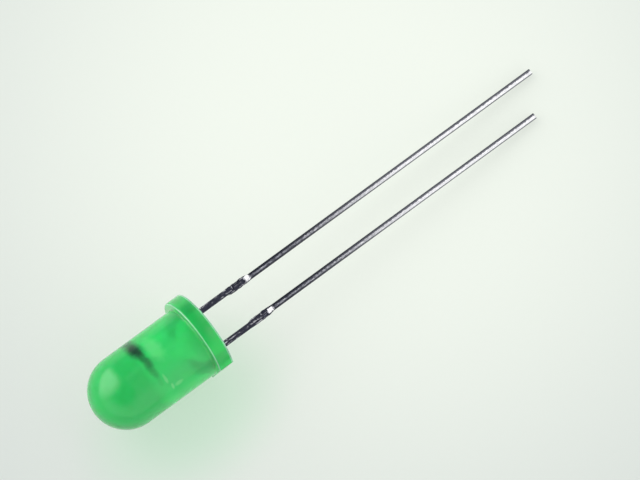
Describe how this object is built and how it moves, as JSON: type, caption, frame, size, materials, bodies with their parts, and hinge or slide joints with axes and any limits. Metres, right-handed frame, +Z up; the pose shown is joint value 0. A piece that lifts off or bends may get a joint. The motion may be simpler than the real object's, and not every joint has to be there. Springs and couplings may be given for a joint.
{
  "type": "through-hole LED",
  "caption": "Round through-hole LED with a green diffused domed lens, a flanged base with a cathode flat, and straight unequal leads; lights an indicator on a board or panel.",
  "frame": {"origin": "centre of the part's box on the floor, under the leads just behind the flange", "axes": "+X along the leads to their tips with the dome towards -X, +Y towards the longer anode lead, +Z up from the floor; the LED lies on the rear rim of its flange and both lead tips"},
  "size_m": [0.0356, 0.0056, 0.006],
  "materials": {
    "tinted_epoxy": "green tinted, diffused casting epoxy with a smooth moulded gloss",
    "tinned_steel": "tin-plated sheet steel with fine lengthwise scratches, bare and matt inside the lens",
    "chip_crystal": "sawn semiconductor crystal, amber",
    "silver_paste": "cured silver-filled paste, matt",
    "gold_wire": "drawn gold wire"
  },
  "bodies": {
    "root": {"epoxy_lens": "tinted_epoxy", "anode_lead": "tinned_steel", "cathode_lead": "tinned_steel", "led_die": "chip_crystal", "die_attach": "silver_paste", "bond_wire": "gold_wire"}
  },
  "joints": []
}
